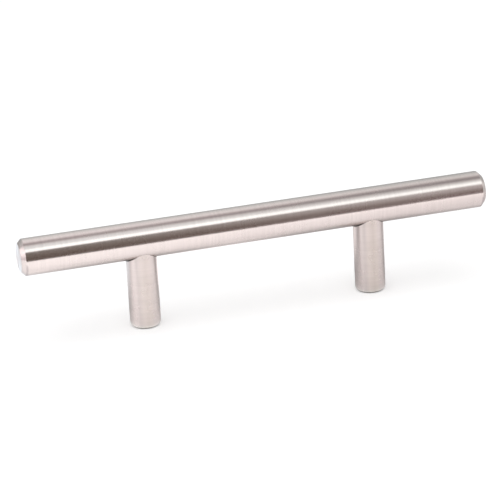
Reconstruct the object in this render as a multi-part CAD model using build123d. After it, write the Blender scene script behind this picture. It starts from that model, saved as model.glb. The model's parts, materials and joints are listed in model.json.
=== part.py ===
from build123d import *
import math
import os

# T bar cabinet pull: a solid round bar carried by two coped round posts.
#
# The origin is midway between the two feet, on the surface that the pull is fixed to. The bar lies
# along X and +Z runs from that surface out to the bar, so the pull stands on its feet.
# Each post is tapped from both ends. The hole in the foot takes the screw that comes through the
# drawer or door. The hole under the bar takes a headless stud, which goes on into the bar.

# Bar
bar_diameter = 12.0
bar_length = 155.0
bar_end_chamfer = 1.4

# Posts
hole_spacing = 76.2
projection = 35.0
post_diameter = 10.0
foot_edge_break = 0.7
saddle_clearance = 0.02

# Tapped holes, drawn at the crests of their threads
foot_hole_diameter = 3.45
countersink_depth = 0.4
stud_hole_diameter = 4.2
drill_point_angle = 118.0
wall_over_stud_hole = 3.75
web_between_holes = 3.0

# Studs that hold the bar on the posts
stud_in_post = 6.0
stud_end_gap = 1.0
stud_clearance = 0.02
stud_end_chamfer = 0.5
socket_across_flats = 2.5
socket_depth = 2.4

bar_radius = bar_diameter / 2
bar_axis_height = projection - bar_radius
bar_underside = projection - bar_diameter
post_radius = post_diameter / 2
foot_hole_radius = foot_hole_diameter / 2
stud_hole_radius = stud_hole_diameter / 2
stud_radius = stud_hole_radius - stud_clearance


def drill_point_height(radius):
    """How far the cone of a drill of that radius reaches past its full width."""
    return radius / math.tan(math.radians(drill_point_angle / 2))


bar_hole_depth = bar_diameter - wall_over_stud_hole - drill_point_height(stud_hole_radius)
post_hole_depth = stud_in_post + stud_end_gap
web_bottom = bar_underside - post_hole_depth - drill_point_height(stud_hole_radius) - web_between_holes
foot_hole_depth = web_bottom - drill_point_height(foot_hole_radius)
stud_bottom = bar_underside - stud_in_post
stud_length = stud_in_post + bar_hole_depth - stud_end_gap

post_places = {"left": -hole_spacing / 2, "right": hole_spacing / 2}


def bar_cylinder(radius, length):
    """A round rod along X on the bar's axis."""
    return Pos(0, 0, bar_axis_height) * Rot(0, 90, 0) * Cylinder(radius, length)


def drilled_hole(radius, depth, before=0.0):
    """A hole that runs up from z = 0 to the cone of its drill, and starts that much before its mouth."""
    outline = Polyline(
        (0, -before),
        (radius, -before),
        (radius, depth),
        (0, depth + drill_point_height(radius)),
        close=True,
    )
    return revolve(Plane.XZ * make_face(outline), Axis.Z)


def countersink():
    """The 45 degree cone at the mouth of a foot's hole."""
    mouth_radius = foot_hole_radius + countersink_depth
    return Pos(0, 0, countersink_depth / 2) * Cone(mouth_radius, foot_hole_radius, countersink_depth)


def bar():
    """The grip: a solid rod with chamfered ends and a blind tapped hole over each post."""
    rod = bar_cylinder(bar_radius, bar_length)
    rim_edges = rod.edges().filter_by(GeomType.CIRCLE)
    rod = chamfer(rim_edges, bar_end_chamfer)
    stud_hole = drilled_hole(stud_hole_radius, bar_hole_depth, before=bar_radius)
    for x in post_places.values():
        rod -= Pos(x, 0, bar_underside) * stud_hole
    return rod


def post(x):
    """A turned post whose top is coped to sit round the bar, tapped from both ends."""
    blank = Pos(0, 0, bar_axis_height / 2) * Cylinder(post_radius, bar_axis_height)
    foot_rim = blank.edges().filter_by(GeomType.CIRCLE).sort_by(Axis.Z)[0]
    turned = chamfer(foot_rim, foot_edge_break)
    coped = turned - bar_cylinder(bar_radius + saddle_clearance, 2 * post_diameter)
    foot_hole = drilled_hole(foot_hole_radius, foot_hole_depth) + countersink()
    stud_hole = drilled_hole(stud_hole_radius, post_hole_depth, before=bar_radius)
    return Pos(x, 0, 0) * (coped - foot_hole - Pos(0, 0, bar_underside) * Rot(180, 0, 0) * stud_hole)


def stud(x):
    """A headless screw, half in the post and half in the bar, with its key socket facing the foot."""
    shank = Pos(0, 0, stud_bottom + stud_length / 2) * Cylinder(stud_radius, stud_length)
    shank = chamfer(shank.edges().filter_by(GeomType.CIRCLE), stud_end_chamfer)
    hexagon = RegularPolygon(socket_across_flats / 2, 6, major_radius=False)
    socket = Pos(0, 0, stud_bottom) * extrude(hexagon, socket_depth)
    return Pos(x, 0, 0) * (shank - socket)


os.makedirs("parts", exist_ok=True)
export_step(bar(), "parts/bar.step")
for side, place in post_places.items():
    export_step(post(place), f"parts/{side}_post.step")
    export_step(stud(place), f"parts/{side}_stud.step")
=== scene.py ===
import json
import math

import bmesh
import bpy
from mathutils import Matrix, Vector


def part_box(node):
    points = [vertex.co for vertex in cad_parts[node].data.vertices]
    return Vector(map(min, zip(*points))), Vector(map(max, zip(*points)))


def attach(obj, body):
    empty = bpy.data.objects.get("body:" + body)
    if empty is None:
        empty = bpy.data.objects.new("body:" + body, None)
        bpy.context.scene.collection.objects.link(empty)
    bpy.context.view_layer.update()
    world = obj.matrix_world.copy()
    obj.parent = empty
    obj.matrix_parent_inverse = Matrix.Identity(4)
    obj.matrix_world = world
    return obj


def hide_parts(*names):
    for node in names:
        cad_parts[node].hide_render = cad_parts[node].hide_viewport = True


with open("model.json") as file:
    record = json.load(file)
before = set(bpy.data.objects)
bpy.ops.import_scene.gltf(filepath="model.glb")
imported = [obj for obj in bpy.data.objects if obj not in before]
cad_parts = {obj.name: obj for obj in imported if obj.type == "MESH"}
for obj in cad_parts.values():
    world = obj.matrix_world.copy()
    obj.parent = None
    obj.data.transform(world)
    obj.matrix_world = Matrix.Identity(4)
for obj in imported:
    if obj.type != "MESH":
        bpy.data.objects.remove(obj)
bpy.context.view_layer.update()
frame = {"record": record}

MM = 0.001
DEGREE = math.radians(1)
WHITE = (1.0, 1.0, 1.0)
X_AXIS = 0
Z_AXIS = 2

# The pull's own sizes, read from the frame
bar_low, bar_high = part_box("bar")
bar_length = bar_high.x - bar_low.x
bar_radius = (bar_high.z - bar_low.z) / 2
bar_axis_height = (bar_high.z + bar_low.z) / 2
bar_underside = bar_low.z
post_low, post_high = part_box("left_post")
post_radius = (post_high.x - post_low.x) / 2
stud_low, stud_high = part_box("left_stud")
foot_hole = next(mount for mount in frame["record"]["mounts"] if mount["kind"] == "threaded_hole")
foot_hole_radius = foot_hole["dims"]["r_mm"] * MM
countersink_depth = foot_hole["pos_m"][2]
foot_hole_depth = countersink_depth + foot_hole["dims"]["length_mm"] * MM
post_places = {
    side: sum(corner.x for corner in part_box(f"{side}_post")) / 2
    for side in ("left", "right")
}

# Edges and fits
bar_end_chamfer = 1.4 * MM
foot_edge_break = 0.7 * MM
eased_edge = 0.12 * MM
eased_foot_shoulder = 0.35 * MM
eased_edge_steps = 3
joint_gap = 0.10 * MM
joint_gap_width = 0.5 * MM
saddle_clearance = 0.02 * MM
drill_point_angle = 118 * DEGREE
overshoot = 1.0 * MM

# Threads: the depth of the groove past the drilled hole, and the rise in one turn. Spare turns are
# wound past both ends and cut off.
foot_thread_depth = 0.36 * MM
foot_thread_pitch = 25.4 / 32 * MM
stud_thread_depth = 0.4 * MM
stud_thread_pitch = 0.8 * MM
thread_runout = 1.5 * MM
tap_core_share = 0.95
spare_turns = 2

# Studs
stud_clearance = 0.02 * MM
stud_end_gap = 1.0 * MM
stud_hole_radius = (stud_high.x - stud_low.x) / 2 + stud_clearance
stud_end_chamfer = 0.5 * MM
socket_across_flats = 2.5 * MM
socket_depth = 2.4 * MM

# How finely round things are divided and shaded
BAR_SIDES = 192
POST_SIDES = 128
HOLE_SIDES = 48
KEY_SIDES = 6
smooth_angle = 25 * DEGREE

# How near counts as the same place. The last two are shares of a thread's pitch.
same_place = bar_length * 1e-5
same_point = 1e-6
weld_share = 1e-3
cut_share = 1e-4

# Camera
camera_azimuth = -15.03 * DEGREE
camera_elevation = 21.354 * DEGREE
camera_roll = -3.138 * DEGREE
camera_distance = 882.5 * MM
camera_target = Vector((-2.087, 0, 19.805)) * MM
camera_lens = 197.03
camera_sensor = 36.0
camera_clip = (0.01, 20)

# Light tent and a card across it, in reflections only
tent_radius = 170 * MM
tent_length = 900 * MM
tent_low_edge = -math.asin(bar_axis_height / tent_radius)
tent_high_edge = math.pi - tent_low_edge
tent_steps = 97
card_distance = 300 * MM

# Where along the bar the tent's left list gives way to the right one, and where it dims past the end
tent_blend = (-45 * MM, 115 * MM)
tent_fade = (-130 * MM, -100 * MM)
tent_fade_level = 0.75

# What the metal sees in the tent, by degrees up and over from the front: a dim room, then a bright
# strip, a seam overhead and a pale back
tent_at_left = [
    (-12, (0.145, 0.112, 0.093)),
    (6, (0.150, 0.118, 0.098)),
    (14, (0.172, 0.140, 0.118)),
    (24, (0.195, 0.164, 0.140)),
    (40, (0.200, 0.174, 0.155)),
    (45.2, (0.23, 0.21, 0.19)),
    (49.2, (1.80, 1.90, 1.92)),
    (61, (1.80, 1.92, 1.94)),
    (69, (1.15, 1.24, 1.26)),
    (75, (1.10, 1.18, 1.21)),
    (82, (1.12, 1.17, 1.19)),
    (88.5, (0.87, 0.88, 0.89)),
    (95, (0.525, 0.505, 0.515)),
    (103, (0.525, 0.49, 0.50)),
    (109, (0.70, 0.66, 0.67)),
    (118, (1.09, 1.06, 1.08)),
    (128, (1.12, 1.12, 1.14)),
    (148, (0.92, 0.94, 0.94)),
    (162, (0.66, 0.70, 0.70)),
    (190, (0.46, 0.47, 0.47)),
]
tent_at_right = [
    (-12, (0.30, 0.25, 0.245)),
    (-2, (0.285, 0.235, 0.23)),
    (4, (0.27, 0.222, 0.218)),
    (10, (0.315, 0.265, 0.262)),
    (16, (0.37, 0.325, 0.31)),
    (22, (0.44, 0.40, 0.39)),
    (28, (0.54, 0.495, 0.495)),
    (36, (0.60, 0.57, 0.57)),
    (46, (0.63, 0.60, 0.59)),
    (51, (1.45, 1.55, 1.55)),
    (60, (1.65, 1.78, 1.78)),
    (69, (1.23, 1.31, 1.31)),
    (75, (0.93, 0.97, 0.97)),
    (82, (0.75, 0.76, 0.76)),
    (88.5, (0.47, 0.47, 0.47)),
    (95, (0.31, 0.295, 0.30)),
    (103, (0.37, 0.35, 0.36)),
    (111, (0.59, 0.57, 0.57)),
    (124, (0.95, 0.96, 0.96)),
    (148, (0.74, 0.78, 0.78)),
    (162, (0.56, 0.60, 0.60)),
    (190, (0.40, 0.41, 0.41)),
]

# What it sees in the card past the left end, by mm of height
card_at_height = [
    (0, (1.16, 1.07, 1.12)),
    (42, (1.12, 1.03, 1.08)),
    (62, (1.65, 1.57, 1.62)),
    (90, (1.90, 1.84, 1.88)),
    (150, (1.80, 1.74, 1.78)),
    (220, (1.40, 1.31, 1.36)),
]

# Floor, lamp and fill light
floor_size = 6.0
floor_colour = (0.85, 0.85, 0.85)
floor_glow_reflected = 0.45
floor_glow_seen = 0.34
lamp_place = Vector((-0.1, -0.15, 0.9))
lamp_size = 1.2
lamp_power = 5.5
ambient = 0.5

# How bright the metal sees the floor, by mm behind the bar, with the bar's shadow behind it
floor_at_left = [
    (-125, 1.23), (-62, 1.20), (-37, 1.17), (-22, 1.12), (-12, 1.05),
    (-3, 1.14), (8, 0.92), (16, 0.70), (24, 0.66), (36, 0.84),
]
floor_at_right = [
    (-125, 1.24), (-62, 1.02), (-37, 0.96), (-22, 0.90), (-12, 0.87),
    (-3, 0.86), (8, 0.60), (16, 0.53), (24, 0.58), (36, 0.74),
]
floor_tint_at_left = (1.0, 1.0, 1.01)
floor_tint_at_right = (1.0, 0.98, 0.99)
floor_blend = (-60 * MM, 100 * MM)

# How much that changes by mm from a post's axis, as painted light and shade on the floor. It shows in
# the rim of the foot, as a light line over a grey one.
floor_at_foot = [
    (4, (0.44, 0.49, 0.48)),
    (4.7, (0.50, 0.55, 0.54)),
    (5.3, (1.65, 1.80, 1.80)),
    (6.3, (1.4, 1.5, 1.5)),
    (7.4, 1.05),
    (10, 1.15),
    (16, 1.05),
    (22, 1.0),
]

# Nearer to the axis than this the floor is open, so that it isn't mirrored in the foot's face
floor_hole_radius = 4.25 * MM

# How much it changes by mm from the middle of a soft shadow at each foot, which is wider than it is
# deep
foot_shadow_behind = 10 * MM
foot_shadow_narrowed = 1.5
foot_shadow = [
    (8, 0.62), (14, 0.66), (20, 0.73), (24, 0.78),
    (27, 0.83), (31, 0.88), (36, 0.95), (42, 1.0),
]

# Patches of painted light and shade laid over it as (place, radius, colour). They show in the left end
# of the bar, at the left edge of the right post and in the chamfer at the right end of the bar.
floor_patches = [
    ((-100 * MM, 75 * MM, 0), 75 * MM, (0.94, 1.03, 1.10)),
    ((-6 * MM, 44 * MM, 0), 30 * MM, (1.22, 1.18, 1.19)),
    ((360 * MM, 75 * MM, 0), 200 * MM, (0.60, 0.66, 0.66)),
]
patch_core_share = 0.4

# A colour ramp holds no level over 1, so each level is held as a share of this one
ramp_top = 2.0

# Finishes: two tones, roughness and how far it wanders, how far the grain draws out reflections, the
# height of the turned marks, and how many of them or of the cloudy patches go to a metre
nickel = dict(
    light=(0.71, 0.63, 0.605),
    dark=(0.655, 0.58, 0.555),
    roughness=0.27,
    wander=0.02,
    grain=0.93,
    marks_height=0.003 * MM,
    scales={"Fine": 7000, "Broad": 1500, "Patches": 70},
)
zinc = dict(
    light=(0.46, 0.46, 0.45),
    dark=(0.36, 0.36, 0.36),
    roughness=0.42,
    wander=0.06,
    grain=0.3,
    marks_height=0.003 * MM,
    scales={"Fine": 7000, "Broad": 1500, "Patches": 70},
)

# What the finishes share: the grain's turn as a share of a whole one, how far the marks run on round
# the piece, the noise that they come from, the share of broad ones, and the spans of that noise that
# carry over to tone and to roughness
grain_turn = 0.25
mark_stretch = 0.03
mark_detail = 3
mark_roughness = 0.6
broad_share = 0.45
tone_span = (0.3, 0.7)
cloud_span = (0.25, 0.75)

# Lanes of painted shade and reflection along the posts, by degrees round from the front
post_shading_lanes = {
    "left": [
        (-110, 1.0),
        (-64, 1.03),
        (-50, 1.02),
        (-42, 0.97),
        (-32, 0.92),
        (-15, (0.98, 0.975, 0.955)),
        (0, (0.93, 0.925, 0.90)),
        (12, (0.96, 0.955, 0.935)),
        (30, 0.95),
        (110, 0.95),
    ],
    "right": [
        (-110, 0.98),
        (-66, 0.95),
        (-52, 0.87),
        (-42, 0.94),
        (-32, 0.89),
        (-20, (0.96, 0.955, 0.93)),
        (0, (0.87, 0.865, 0.83)),
        (12, (0.93, 0.93, 0.90)),
        (24, 0.94),
        (50, 0.92),
        (110, 0.92),
    ],
}

# A painted highlight: a paler patch on the front of each post where it nears the bar
painted_highlight = (1.10, 1.10, 1.11)
painted_highlight_heights = (14.5 * MM, 22 * MM)
painted_highlight_sides = (24 * DEGREE, 36 * DEGREE)

# A darker line at the bar's shoulders, kept to the lower half of the bar as painted shade
shoulder_line = (0.74, 0.73, 0.75)
shoulder_line_place = bar_length / 2 - bar_end_chamfer - 0.1 * MM
shoulder_line_width = (0.15 * MM, 0.45 * MM)
shoulder_line_fade = (bar_axis_height - 1.5 * MM, bar_axis_height)

# Painted shadow in the joints, measured from where the axes of post and bar meet: where it ends across
# the bar, how it thins to the right, how wide it is from front to back, the share of that width that
# is fully dark, and its ring on the underside of the bar
joint_shadow_colour = (0.10, 0.085, 0.075)
joint_shadow_across = (3.4 * MM, 4.8 * MM)
joint_shadow_rightwards = (-3.4 * MM, 1.0 * MM)
joint_shadow_at_right = 0.12
joint_shadow_front_to_back = (-3.4 * MM, 1.4 * MM)
joint_shadow_widths = (0.30 * MM, 0.98 * MM)
joint_shadow_dense_share = 0.4
joint_shadow_ring = (post_radius + 1.9 * MM, post_radius + 3.2 * MM)
joint_shadow_under_bar = (-4.4 * MM, -3.6 * MM)


# Modelling

def take(piece):
    """Selects one piece alone and makes it the active one."""
    bpy.ops.object.select_all(action="DESELECT")
    piece.select_set(True)
    bpy.context.view_layer.objects.active = piece


def settle(piece, name):
    """Names a piece and puts its place, turn and size into its mesh."""
    piece.name = name
    piece.data.name = name
    take(piece)
    bpy.ops.object.transform_apply(location=True, rotation=True, scale=True)
    return piece


def rod_up(name, radius, low, high, place, sides):
    """A round rod along Z at place (x, y)."""
    bpy.ops.object.select_all(action="DESELECT")
    bpy.ops.mesh.primitive_cylinder_add(
        vertices=sides, radius=radius, depth=high - low, location=(*place, (low + high) / 2)
    )
    return settle(bpy.context.object, name)


def rod_along(name, radius, length, sides):
    """A round rod along X on the bar's axis."""
    bpy.ops.object.select_all(action="DESELECT")
    bpy.ops.mesh.primitive_cylinder_add(
        vertices=sides,
        radius=radius,
        depth=length,
        location=(0, 0, bar_axis_height),
        rotation=(0, math.pi / 2, 0),
    )
    return settle(bpy.context.object, name)


def bevel_rings(piece, axis, places, width, steps=1):
    """Bevels the rings of edges that lie square to an axis at these places along it."""
    take(piece)
    bpy.ops.object.mode_set(mode="EDIT")
    bpy.ops.mesh.select_mode(type="EDGE")
    bpy.ops.mesh.select_all(action="DESELECT")
    mesh = bmesh.from_edit_mesh(piece.data)
    for edge in mesh.edges:
        at = [vertex.co[axis] for vertex in edge.verts]
        edge.select_set(any(max(abs(a - place) for a in at) < same_place for place in places))
    bmesh.update_edit_mesh(piece.data)
    bpy.ops.mesh.bevel(offset=width, segments=steps, affect="EDGES")
    bpy.ops.object.mode_set(mode="OBJECT")


def combine(piece, tool, operation):
    """Cuts a piece by a tool, or keeps what the two share, and removes the tool."""
    take(piece)
    boolean = piece.modifiers.new("cut", "BOOLEAN")
    boolean.operation = operation
    boolean.solver = "EXACT"
    boolean.use_self = True
    boolean.object = tool
    bpy.ops.object.modifier_apply(modifier=boolean.name)
    bpy.data.objects.remove(tool)


def joined(tools):
    """Several tools as one, so that a piece is cut by all of them at once."""
    bpy.ops.object.select_all(action="DESELECT")
    for tool in tools:
        tool.select_set(True)
    bpy.context.view_layer.objects.active = tools[0]
    bpy.ops.object.join()
    return tools[0]


def face_outwards():
    """Turns the active piece's faces outwards."""
    bpy.ops.object.mode_set(mode="EDIT")
    bpy.ops.mesh.select_all(action="SELECT")
    bpy.ops.mesh.normals_make_consistent(inside=False)
    bpy.ops.object.mode_set(mode="OBJECT")


def outline_piece(name, points, place):
    """A line through (radius, height) points, beside a vertical axis that stands at place."""
    mesh = bpy.data.meshes.new(name)
    mesh.from_pydata([(r, 0, z) for r, z in points], [(i, i + 1) for i in range(len(points) - 1)], [])
    piece = bpy.data.objects.new(name, mesh)
    bpy.context.scene.collection.objects.link(piece)
    piece.location = place
    take(piece)
    return piece


def turned_solid(name, points, place):
    """A solid turned round a vertical axis from an outline that starts and ends on it."""
    piece = outline_piece(name, points, (*place, 0))
    turn = piece.modifiers.new("turn", "SCREW")
    turn.axis = "Z"
    turn.steps = turn.render_steps = HOLE_SIDES
    turn.use_merge_vertices = True
    turn.merge_threshold = same_point
    bpy.ops.object.modifier_apply(modifier=turn.name)
    settle(piece, name)
    face_outwards()
    return piece


def drill(radius, start, depth, direction, place, sink=0):
    """The drill for a blind hole from a face at height start, up for direction 1 and down for -1."""
    outline = [(0, -overshoot), (radius + sink, -overshoot)]
    if sink:
        outline += [(radius + sink, 0), (radius, sink)]
    outline += [(radius, depth), (0, depth + radius / math.tan(drill_point_angle / 2))]
    return turned_solid("drill", [(r, start + direction * z) for r, z in outline], place)


def threaded_rod(name, root, crest, pitch, low, high, place):
    """One tooth of a thread, wound up the axis and cut square at both ends.

    All threads start on whole turns from z = 0.
    """
    flat = pitch / 8
    tooth = [(root, 0), (root, flat), (crest, pitch / 2), (crest, pitch / 2 + flat), (root, pitch)]
    first_turn = math.floor(low / pitch) - spare_turns
    piece = outline_piece(name, tooth, (*place, first_turn * pitch))
    wind = piece.modifiers.new("wind", "SCREW")
    wind.axis = "Z"
    wind.screw_offset = pitch
    wind.iterations = math.ceil(high / pitch) + spare_turns - first_turn
    wind.steps = wind.render_steps = HOLE_SIDES
    bpy.ops.object.modifier_apply(modifier=wind.name)
    settle(piece, name)
    bpy.ops.object.mode_set(mode="EDIT")
    bpy.ops.mesh.select_all(action="SELECT")
    bpy.ops.mesh.remove_doubles(threshold=pitch * weld_share)
    for height, clear_above in ((low, False), (high, True)):
        bpy.ops.mesh.select_all(action="SELECT")
        bpy.ops.mesh.bisect(
            plane_co=(*place, height),
            plane_no=(0, 0, 1),
            use_fill=True,
            clear_outer=clear_above,
            clear_inner=not clear_above,
            threshold=pitch * cut_share,
        )
    bpy.ops.object.mode_set(mode="OBJECT")
    face_outwards()
    return piece


def tap(radius, groove, pitch, start, depth, direction, place):
    """The tap that threads a drilled hole from a face at height start, as far as its runout."""
    ends = (start - direction * overshoot, start + direction * (depth - thread_runout))
    return threaded_rod("tap", radius * tap_core_share, radius + groove, pitch, min(ends), max(ends), place)


def foot_hole_tools(place):
    """The drill and the tap for the hole in a foot."""
    return [
        drill(foot_hole_radius, 0, foot_hole_depth, 1, place, sink=countersink_depth),
        tap(foot_hole_radius, foot_thread_depth, foot_thread_pitch, 0, foot_hole_depth, 1, place),
    ]


def stud_hole_tools(depth, direction, place):
    """The drill and the tap for one half of a stud's hole, from the bar's underside."""
    start = bar_underside
    return [
        drill(stud_hole_radius, start, depth, direction, place),
        tap(stud_hole_radius, stud_thread_depth, stud_thread_pitch, start, depth, direction, place),
    ]


def make_bar():
    """The grip: a solid rod with chamfered ends, eased edges and a tapped hole over each post."""
    bar = rod_along("grip_bar", bar_radius, bar_length, BAR_SIDES)
    end = bar_length / 2
    bevel_rings(bar, X_AXIS, (-end, end), bar_end_chamfer)
    shoulder = end - bar_end_chamfer
    bevel_rings(bar, X_AXIS, (-end, -shoulder, shoulder, end), eased_edge, eased_edge_steps)
    depth = stud_high.z + stud_end_gap - bar_underside
    tools = []
    for x in post_places.values():
        tools += stud_hole_tools(depth, 1, (x, 0))
    combine(bar, joined(tools), "DIFFERENCE")
    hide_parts("bar")
    return bar


def relieve_rim(post, place, reach):
    """Eases the rim of the cope, so that a fine gap shows at the flanks and closes towards the tips."""
    rim = rod_up("rim", post_radius + overshoot, 0, bar_axis_height, place, POST_SIDES)
    inside = post_radius - joint_gap_width
    hollow = rod_up("hollow", inside, -overshoot, bar_axis_height + overshoot, place, POST_SIDES)
    combine(rim, hollow, "DIFFERENCE")
    rise = post_high.z - (bar_underside - saddle_clearance - joint_gap)
    radius = (post_radius**2 + rise**2) / (2 * rise)
    relief = rod_along("relief", radius, reach, BAR_SIDES)
    relief.location.z = post_high.z - rise + radius - bar_axis_height
    combine(rim, settle(relief, "relief"), "INTERSECT")
    combine(post, rim, "DIFFERENCE")


def make_post(side, x):
    """A turned post, coped to sit round the bar and tapped from both ends."""
    place = (x, 0)
    post = rod_up(f"{side}_coped_post", post_radius, 0, bar_axis_height, place, POST_SIDES)
    bevel_rings(post, Z_AXIS, (0,), foot_edge_break)
    bevel_rings(post, Z_AXIS, (foot_edge_break,), eased_foot_shoulder, eased_edge_steps)
    bevel_rings(post, Z_AXIS, (0,), eased_edge / 2, eased_edge_steps)
    reach = 4 * post_radius + 2 * abs(x)
    combine(post, rod_along("cope", bar_radius + saddle_clearance, reach, BAR_SIDES), "DIFFERENCE")
    relieve_rim(post, place, reach)
    depth = bar_underside - stud_low.z + stud_end_gap
    tools = foot_hole_tools(place) + stud_hole_tools(depth, -1, place)
    combine(post, joined(tools), "DIFFERENCE")
    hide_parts(f"{side}_post")
    return post


def make_stud(side, x):
    """A headless screw with chamfered ends and a hexagon socket that faces the foot."""
    name = f"{side}_joining_stud"
    place = (x, 0)
    low, high = stud_low.z, stud_high.z
    root = stud_hole_radius - stud_clearance
    crest = root + stud_thread_depth
    stud = threaded_rod(name, root, crest, stud_thread_pitch, low, high, place)
    blank = rod_up("blank", crest + stud_clearance, low, high, place, HOLE_SIDES)
    bevel_rings(blank, Z_AXIS, (low, high), stud_end_chamfer)
    across_corners = socket_across_flats / math.cos(math.pi / KEY_SIDES)
    key = rod_up("key", across_corners / 2, low - overshoot, low + socket_depth, place, KEY_SIDES)
    combine(blank, key, "DIFFERENCE")
    combine(stud, blank, "INTERSECT")
    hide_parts(f"{side}_stud")
    return stud


bar = make_bar()
posts = {side: make_post(side, x) for side, x in post_places.items()}
studs = {side: make_stud(side, x) for side, x in post_places.items()}
for piece in (bar, *posts.values(), *studs.values()):
    take(piece)
    bpy.ops.object.shade_smooth_by_angle(angle=smooth_angle)
    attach(piece, "root")


# Shader nodes

def node(tree, kind, **settings):
    """A node of a kind, with its properties set by name."""
    made = tree.nodes.new(kind)
    for name, value in settings.items():
        setattr(made, name, value)
    return made


def feed(tree, value, socket):
    """Links a value to a socket, or sets the socket to it where it is a fixed number or colour."""
    if isinstance(value, bpy.types.NodeSocket):
        tree.links.new(value, socket)
    elif socket.type == "RGBA":
        socket.default_value = (*value, 1)
    else:
        socket.default_value = value


def own_place(tree):
    """The place on a piece, in its own coordinates."""
    return node(tree, "ShaderNodeTexCoord").outputs["Object"]


def parts(tree, vector):
    """The three parts of a vector."""
    split = node(tree, "ShaderNodeSeparateXYZ")
    feed(tree, vector, split.inputs[0])
    return split.outputs


def vector(tree, *values):
    """A vector from its three parts."""
    made = node(tree, "ShaderNodeCombineXYZ")
    for socket, value in zip(made.inputs, values):
        feed(tree, value, socket)
    return made.outputs[0]


def length(tree, *values):
    """The length of a vector, from its three parts."""
    measure = node(tree, "ShaderNodeVectorMath", operation="LENGTH")
    feed(tree, vector(tree, *values), measure.inputs[0])
    return measure.outputs["Value"]


def distance(tree, start, end):
    """How far one place is from another."""
    measure = node(tree, "ShaderNodeVectorMath", operation="DISTANCE")
    feed(tree, start, measure.inputs[0])
    feed(tree, end, measure.inputs[1])
    return measure.outputs["Value"]


def maths(tree, operation, *values):
    """The result of one operation on some numbers."""
    step = node(tree, "ShaderNodeMath", operation=operation)
    for socket, value in zip(step.inputs, values):
        feed(tree, value, socket)
    return step.outputs[0]


def product(tree, *values, kind="ShaderNodeMath"):
    """The product of some numbers, or of vectors with the kind of node for those."""
    result = values[0]
    for value in values[1:]:
        times = node(tree, kind, operation="MULTIPLY")
        feed(tree, result, times.inputs[0])
        feed(tree, value, times.inputs[1])
        result = times.outputs[0]
    return result


def tinted(tree, *colours):
    """The product of some colours."""
    return product(tree, *colours, kind="ShaderNodeVectorMath")


def carried(tree, value, span, levels=(0, 1), **settings):
    """Carries a number over from a span of its own to a span of levels, and keeps it within them."""
    carry = node(tree, "ShaderNodeMapRange", **settings)
    for name, number in zip(("From Min", "From Max", "To Min", "To Max"), (*span, *levels)):
        carry.inputs[name].default_value = number
    feed(tree, value, carry.inputs["Value"])
    return carry.outputs[0]


def graded(tree, value, span, levels):
    """The same with a soft start and end."""
    return carried(tree, value, span, levels, interpolation_type="SMOOTHSTEP")


def ramp(tree, value, points, unit):
    """Looks a value up in (place, level) pairs.

    The places are in that unit, and each level is a number or a colour.
    """
    first, last = points[0][0], points[-1][0]
    table = node(tree, "ShaderNodeValToRGB")
    elements = table.color_ramp.elements
    elements.remove(elements[-1])
    for i, (place, level) in enumerate(points):
        position = (place - first) / (last - first)
        element = elements.new(position) if i else elements[0]
        colour = level if isinstance(level, tuple) else (level, level, level)
        element.color = (*(channel / ramp_top for channel in colour), 1)
    feed(tree, carried(tree, value, (first * unit, last * unit)), table.inputs[0])
    scaled = node(tree, "ShaderNodeVectorMath", operation="SCALE")
    scaled.inputs["Scale"].default_value = ramp_top
    feed(tree, table.outputs[0], scaled.inputs[0])
    return scaled.outputs[0]


def blended(tree, factor, first, second):
    """A mix of two colours by a factor."""
    mix = node(tree, "ShaderNodeMix", data_type="RGBA")
    # this node's sockets for colours are inputs 6 and 7 and output 2
    feed(tree, factor, mix.inputs[0])
    feed(tree, first, mix.inputs[6])
    feed(tree, second, mix.inputs[7])
    return mix.outputs[2]


def emission(tree, colour, strength):
    """Light of a colour and strength."""
    glow = node(tree, "ShaderNodeEmission")
    feed(tree, colour, glow.inputs["Color"])
    feed(tree, strength, glow.inputs["Strength"])
    return glow.outputs[0]


def empty_material(name):
    """A material without nodes, and its tree."""
    material = bpy.data.materials.new(name)
    material.use_nodes = True
    material.node_tree.nodes.clear()
    return material, material.node_tree


def put_out(tree, shader):
    """Makes a shader the surface of its material."""
    out = node(tree, "ShaderNodeOutputMaterial")
    feed(tree, shader, out.inputs["Surface"])


def new_group(name, numbers, results):
    """A node group that takes a position and some numbers, with its inside ends."""
    group = bpy.data.node_groups.new(name, "ShaderNodeTree")
    group.interface.new_socket("Position", in_out="INPUT", socket_type="NodeSocketVector")
    for label in numbers:
        group.interface.new_socket(label, in_out="INPUT", socket_type="NodeSocketFloat")
    for label in results:
        group.interface.new_socket(label, in_out="OUTPUT", socket_type="NodeSocketFloat")
    return group, node(group, "NodeGroupInput").outputs, node(group, "NodeGroupOutput").inputs


def dress(piece, material):
    """Gives a piece one material."""
    piece.data.materials.clear()
    piece.data.materials.append(material)


# Materials

def noise(tree, place, scale):
    """Soft noise that varies over a place."""
    made = node(tree, "ShaderNodeTexNoise", noise_dimensions="3D")
    made.inputs["Detail"].default_value = mark_detail
    made.inputs["Roughness"].default_value = mark_roughness
    feed(tree, place, made.inputs["Vector"])
    feed(tree, scale, made.inputs["Scale"])
    return made.outputs[0]


def turned_marks_group():
    """Fine marks that run round a turned piece, as a cloth or a cutter leaves them.

    Position is measured from a point on the piece's axis, which lies along X. The marks vary along the
    axis on the sides and outwards on the ends, so they are rings everywhere.
    """
    scales = ("Fine", "Broad", "Patches")
    group, given, result = new_group("turned_marks", scales, ("Marks", "Tone", "Cloud"))
    x, y, z = parts(group, given["Position"])
    along = maths(group, "ADD", x, length(group, 0, y, z))
    rings = vector(group, along, product(group, y, mark_stretch), product(group, z, mark_stretch))
    broad = noise(group, rings, given["Broad"])
    both = node(group, "ShaderNodeMix", data_type="FLOAT")
    # its sockets for numbers are inputs 2 and 3
    both.inputs[0].default_value = broad_share
    feed(group, noise(group, rings, given["Fine"]), both.inputs[2])
    feed(group, broad, both.inputs[3])
    feed(group, both.outputs[0], result["Marks"])
    feed(group, broad, result["Tone"])
    feed(group, noise(group, given["Position"], given["Patches"]), result["Cloud"])
    return group


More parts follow.
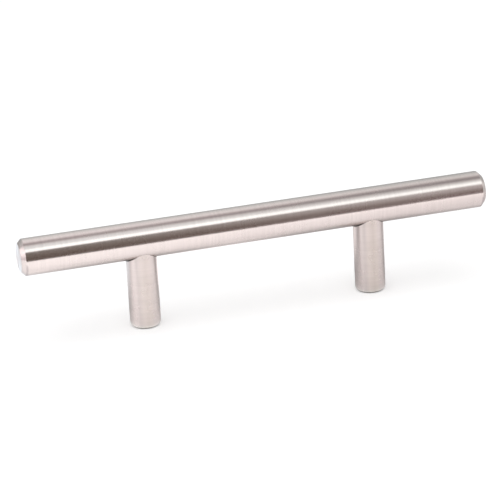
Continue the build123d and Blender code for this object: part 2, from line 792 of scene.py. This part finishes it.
def joint_shade_group():
    """Painted shadow in a joint, densest at the post's left flank and gone towards the tips of the cope.

    Position is measured from where the post's axis meets the bar's. On the post it lies close to the
    bar, and on the bar it lies in a ring round the post.
    """
    group, given, result = new_group("joint_shade", (), ("On Post", "On Bar"))
    x, y, z = parts(group, given["Position"])
    flank = graded(group, maths(group, "ABSOLUTE", y), joint_shadow_across, (1, 0))
    left = graded(group, x, joint_shadow_rightwards, (1, joint_shadow_at_right))
    off_bar = maths(group, "SUBTRACT", length(group, 0, y, z), bar_radius)
    width = graded(group, y, joint_shadow_front_to_back, joint_shadow_widths)
    share = maths(group, "DIVIDE", off_bar, width)
    rim = graded(group, share, (joint_shadow_dense_share, 1), (1, 0))
    ring = graded(group, length(group, x, y, 0), joint_shadow_ring, (1, 0))
    underside = graded(group, z, joint_shadow_under_bar, (1, 0))
    feed(group, product(group, rim, flank, left), result["On Post"])
    feed(group, product(group, ring, flank, left, underside), result["On Bar"])
    return group


def round_post_group():
    """The angle round a post, 0 at the front and rising towards +X, and a painted highlight on its front.

    Position is measured from the middle of the post's foot. The highlight lies where the post nears the
    bar.
    """
    group, given, result = new_group("round_post", (), ("Angle", "Patch"))
    x, y, z = parts(group, given["Position"])
    angle = maths(group, "ARCTAN2", x, product(group, y, -1))
    in_front = graded(group, maths(group, "ABSOLUTE", angle), painted_highlight_sides, (1, 0))
    near_bar = graded(group, z, painted_highlight_heights, (0, 1))
    feed(group, angle, result["Angle"])
    feed(group, product(group, in_front, near_bar), result["Patch"])
    return group


turned_marks = turned_marks_group()
joint_shade = joint_shade_group()
round_post = round_post_group()


def measured_from(tree, place):
    """The place on a piece, measured from a point."""
    centred = node(tree, "ShaderNodeMapping", vector_type="POINT")
    centred.inputs["Location"].default_value = -Vector(place)
    feed(tree, own_place(tree), centred.inputs["Vector"])
    return centred.outputs[0]


def laid_along_x(tree, position):
    """A position turned so that an upright axis lies along X."""
    turned = node(tree, "ShaderNodeMapping", vector_type="POINT")
    turned.inputs["Rotation"].default_value = (0, math.pi / 2, 0)
    feed(tree, position, turned.inputs["Vector"])
    return turned.outputs[0]


def lane_shading(tree, position, lanes):
    """The painted shading of a post: lanes of painted shade and reflection by the angle round it, and a
    painted highlight, a paler patch, on its front near the bar.
    """
    around = node(tree, "ShaderNodeGroup", node_tree=round_post)
    feed(tree, position, around.inputs["Position"])
    # painted highlight on the post's front near the bar
    patch = blended(tree, around.outputs["Patch"], WHITE, painted_highlight)
    return tinted(tree, ramp(tree, around.outputs["Angle"], lanes, DEGREE), patch)


def shoulder_tone(tree):
    """A darker line at the bar's shoulders, kept to the lower half of the bar as painted shade."""
    x, _, z = parts(tree, own_place(tree))
    off_line = maths(tree, "SUBTRACT", maths(tree, "ABSOLUTE", x), shoulder_line_place)
    line = graded(tree, maths(tree, "ABSOLUTE", off_line), shoulder_line_width, (1, 0))
    shaded_lower_half = graded(tree, z, shoulder_line_fade, (1, 0))
    return blended(tree, product(tree, line, shaded_lower_half), WHITE, shoulder_line)


def metal(name, place, axis, finish, lanes=None, shoulders=False, joints=()):
    """A metal with turned marks round an axis through place.

    It may have lanes of painted shade and reflection along it, a darker line at its shoulders, kept to
    the lower half as painted shade, and painted shadow in its joints.
    """
    material = bpy.data.materials.new(name)
    material.use_nodes = True
    tree = material.node_tree
    shader = tree.nodes["Principled BSDF"]
    shader.inputs["Metallic"].default_value = 1
    shader.inputs["Anisotropic"].default_value = finish["grain"]
    shader.inputs["Anisotropic Rotation"].default_value = grain_turn
    tangent = node(tree, "ShaderNodeTangent", direction_type="RADIAL", axis=axis)
    feed(tree, tangent.outputs[0], shader.inputs["Tangent"])
    position = measured_from(tree, place)
    marks = node(tree, "ShaderNodeGroup", node_tree=turned_marks)
    feed(tree, position if axis == "X" else laid_along_x(tree, position), marks.inputs["Position"])
    for label, scale in finish["scales"].items():
        marks.inputs[label].default_value = scale
    tone = carried(tree, marks.outputs["Tone"], tone_span)
    surface = blended(tree, tone, finish["light"], finish["dark"])
    # painted shade and reflection in lanes round each post, and a painted highlight near the bar
    if lanes:
        surface = tinted(tree, surface, lane_shading(tree, position, lanes))
    # a darker line at the shoulders, painted shade on the lower half of the bar
    if shoulders:
        surface = tinted(tree, surface, shoulder_tone(tree))
    # painted shadow in the joints, densest at each post's left flank
    for x in joints:
        shade = node(tree, "ShaderNodeGroup", node_tree=joint_shade)
        feed(tree, measured_from(tree, (x, 0, bar_axis_height)), shade.inputs["Position"])
        painted_joint_shade = shade.outputs["On Bar" if axis == "X" else "On Post"]
        surface = blended(tree, painted_joint_shade, surface, joint_shadow_colour)
    feed(tree, surface, shader.inputs["Base Color"])
    smoothest = finish["roughness"] - finish["wander"]
    roughest = finish["roughness"] + finish["wander"]
    rough = carried(tree, marks.outputs["Cloud"], cloud_span, (smoothest, roughest))
    feed(tree, rough, shader.inputs["Roughness"])
    bump = node(tree, "ShaderNodeBump")
    bump.inputs["Strength"].default_value = 1
    bump.inputs["Distance"].default_value = finish["marks_height"]
    feed(tree, marks.outputs["Marks"], bump.inputs["Height"])
    feed(tree, bump.outputs[0], shader.inputs["Normal"])
    return material


def bar_nickel():
    """Satin nickel on the bar."""
    place = (0, 0, bar_axis_height)
    return metal("satin_nickel_bar", place, "X", nickel, shoulders=True, joints=post_places.values())


def post_nickel(side, x):
    """Satin nickel on a post."""
    return metal(f"satin_nickel_{side}_post", (x, 0, 0), "Z", nickel, post_shading_lanes[side], joints=(x,))


def stud_zinc(side, x):
    """Zinc coat on a stud."""
    return metal(f"zinc_coated_{side}_stud", (x, 0, 0), "Z", zinc)


dress(bar, bar_nickel())
for side, post in posts.items():
    dress(post, post_nickel(side, post_places[side]))
for side, stud in studs.items():
    dress(stud, stud_zinc(side, post_places[side]))


# Stage

def tent_material():
    """The tent's light, by the angle over the bar's axis and by the place along it."""
    material, tree = empty_material("light_tent")
    x, y, z = parts(tree, own_place(tree))
    rise = maths(tree, "SUBTRACT", z, bar_axis_height)
    angle = maths(tree, "ARCTAN2", rise, product(tree, y, -1))
    # angles under the back horizon come out negative and are brought past half a turn
    whole = maths(tree, "WRAP", angle, 1.5 * math.pi, -0.5 * math.pi)
    at_left = ramp(tree, whole, tent_at_left, DEGREE)
    at_right = ramp(tree, whole, tent_at_right, DEGREE)
    light = blended(tree, carried(tree, x, tent_blend), at_left, at_right)
    fade = carried(tree, x, tent_fade, (tent_fade_level, 1))
    put_out(tree, emission(tree, light, fade))
    return material


def card_material():
    """The card's light, by height."""
    material, tree = empty_material("pale_card")
    _, _, z = parts(tree, own_place(tree))
    put_out(tree, emission(tree, ramp(tree, z, card_at_height, MM), 1))
    return material


def show_to_metal_only(piece):
    """Keeps a stage piece out of sight of everything but reflections."""
    piece.visible_camera = False
    piece.visible_diffuse = False
    piece.visible_shadow = False
    piece.visible_transmission = False


def make_tent():
    """A half-round tent over the pull that only reflections see."""
    verts, faces = [], []
    for i in range(tent_steps):
        angle = tent_low_edge + (tent_high_edge - tent_low_edge) * i / (tent_steps - 1)
        y, z = -tent_radius * math.cos(angle), bar_axis_height + tent_radius * math.sin(angle)
        verts += [(-tent_length / 2, y, z), (tent_length / 2, y, z)]
    for i in range(tent_steps - 1):
        faces.append((2 * i, 2 * i + 1, 2 * i + 3, 2 * i + 2))
    mesh = bpy.data.meshes.new("light_tent")
    mesh.from_pydata(verts, [], faces)
    tent = bpy.data.objects.new("light_tent", mesh)
    bpy.context.scene.collection.objects.link(tent)
    dress(tent, tent_material())
    show_to_metal_only(tent)


def make_left_card():
    """A pale card that stands across the tent past the left end of the pull."""
    bpy.ops.object.select_all(action="DESELECT")
    bpy.ops.mesh.primitive_plane_add(
        size=2 * tent_radius,
        location=(-card_distance, 0, tent_radius),
        rotation=(0, math.pi / 2, 0),
    )
    card = settle(bpy.context.object, "left_card")
    dress(card, card_material())
    show_to_metal_only(card)


def reflected_floor(tree, off_foot, to_foot):
    """How the metal sees the floor: brighter in front and to the left, dim behind and by the feet."""
    place = own_place(tree)
    x, y, _ = parts(tree, place)
    at_left = tinted(tree, ramp(tree, y, floor_at_left, MM), floor_tint_at_left)
    at_right = tinted(tree, ramp(tree, y, floor_at_right, MM), floor_tint_at_right)
    off_shadow = maths(tree, "SUBTRACT", y, foot_shadow_behind)
    to_shadow = length(tree, off_foot, product(tree, off_shadow, foot_shadow_narrowed), 0)
    reflected = tinted(
        tree,
        blended(tree, carried(tree, x, floor_blend), at_left, at_right),
        ramp(tree, to_foot, floor_at_foot, MM),
        ramp(tree, to_shadow, foot_shadow, MM),
    )
    for middle, radius, colour in floor_patches:
        to_patch = distance(tree, place, middle)
        in_patch = graded(tree, to_patch, (patch_core_share * radius, radius), (1, 0))
        reflected = blended(tree, in_patch, reflected, colour)
    return reflected


def floor_material():
    """White paper to the camera, with painted light and shadow that only the metal sees.

    It is open under the feet, and from below all over.
    """
    material, tree = empty_material("pale_floor")
    x, y, _ = parts(tree, own_place(tree))
    off_foot = maths(tree, "SUBTRACT", maths(tree, "ABSOLUTE", x), post_places["right"])
    to_foot = length(tree, off_foot, y, 0)
    path = node(tree, "ShaderNodeLightPath")
    seen = path.outputs["Is Camera Ray"]
    reflected = path.outputs["Is Glossy Ray"]
    level = blended(tree, reflected, WHITE, reflected_floor(tree, off_foot, to_foot))
    paper = node(tree, "ShaderNodeBsdfDiffuse")
    feed(tree, tinted(tree, level, floor_colour), paper.inputs["Color"])
    glow_seen = product(tree, seen, floor_glow_seen)
    glow_reflected = product(tree, reflected, floor_glow_reflected)
    lit_paper = node(tree, "ShaderNodeAddShader")
    feed(tree, paper.outputs[0], lit_paper.inputs[0])
    glow = emission(tree, level, maths(tree, "ADD", glow_seen, glow_reflected))
    feed(tree, glow, lit_paper.inputs[1])
    under_foot = maths(tree, "LESS_THAN", to_foot, floor_hole_radius)
    from_below = node(tree, "ShaderNodeNewGeometry").outputs["Backfacing"]
    surface = node(tree, "ShaderNodeMixShader")
    feed(tree, maths(tree, "MAXIMUM", under_foot, from_below), surface.inputs[0])
    feed(tree, lit_paper.outputs[0], surface.inputs[1])
    feed(tree, node(tree, "ShaderNodeBsdfTransparent").outputs[0], surface.inputs[2])
    put_out(tree, surface.outputs[0])
    return material


def make_floor():
    """A pale floor that keeps a soft shadow. From below it can't be seen."""
    bpy.ops.object.select_all(action="DESELECT")
    bpy.ops.mesh.primitive_plane_add(size=floor_size, location=(0, 0, 0))
    floor = settle(bpy.context.object, "floor")
    dress(floor, floor_material())


def make_lamp():
    """One large soft lamp overhead. It lights the floor, and the metal sees the tent instead."""
    lamp = bpy.data.lights.new("overhead_lamp", "AREA")
    lamp.shape = "SQUARE"
    lamp.size = lamp_size
    lamp.energy = lamp_power
    holder = bpy.data.objects.new("overhead_lamp", lamp)
    holder.location = lamp_place
    bpy.context.scene.collection.objects.link(holder)
    holder.rotation_mode = "QUATERNION"
    holder.rotation_quaternion = lamp_place.to_track_quat("Z", "Y")
    holder.visible_camera = False
    holder.visible_glossy = False


def make_world():
    """White where it is seen, dimmer as fill light."""
    world = bpy.data.worlds.new("surroundings")
    bpy.context.scene.world = world
    world.use_nodes = True
    tree = world.node_tree
    tree.nodes.clear()
    path = node(tree, "ShaderNodeLightPath")
    seen = maths(tree, "MAXIMUM", path.outputs["Is Camera Ray"], path.outputs["Is Glossy Ray"])
    background = node(tree, "ShaderNodeBackground")
    feed(tree, carried(tree, seen, (0, 1), (ambient, 1)), background.inputs["Strength"])
    feed(tree, WHITE, background.inputs["Color"])
    out = node(tree, "ShaderNodeOutputWorld")
    feed(tree, background.outputs[0], out.inputs["Surface"])


def make_camera():
    """A long lens that looks down on the pull from in front and a little to its left."""
    camera = bpy.data.cameras.new("camera")
    camera.lens = camera_lens
    camera.sensor_width = camera_sensor
    camera.sensor_fit = "HORIZONTAL"
    camera.clip_start, camera.clip_end = camera_clip
    holder = bpy.data.objects.new("camera", camera)
    bpy.context.scene.collection.objects.link(holder)
    back = Vector((
        math.sin(camera_azimuth) * math.cos(camera_elevation),
        -math.cos(camera_azimuth) * math.cos(camera_elevation),
        math.sin(camera_elevation),
    ))
    level = back.to_track_quat("Z", "Y").to_matrix()
    holder.rotation_mode = "QUATERNION"
    holder.rotation_quaternion = (level @ Matrix.Rotation(camera_roll, 3, "Z")).to_quaternion()
    holder.location = camera_target + back * camera_distance
    bpy.context.scene.camera = holder


make_tent()
make_left_card()
make_floor()
make_lamp()
make_world()
make_camera()
bpy.context.scene.view_settings.view_transform = "Standard"
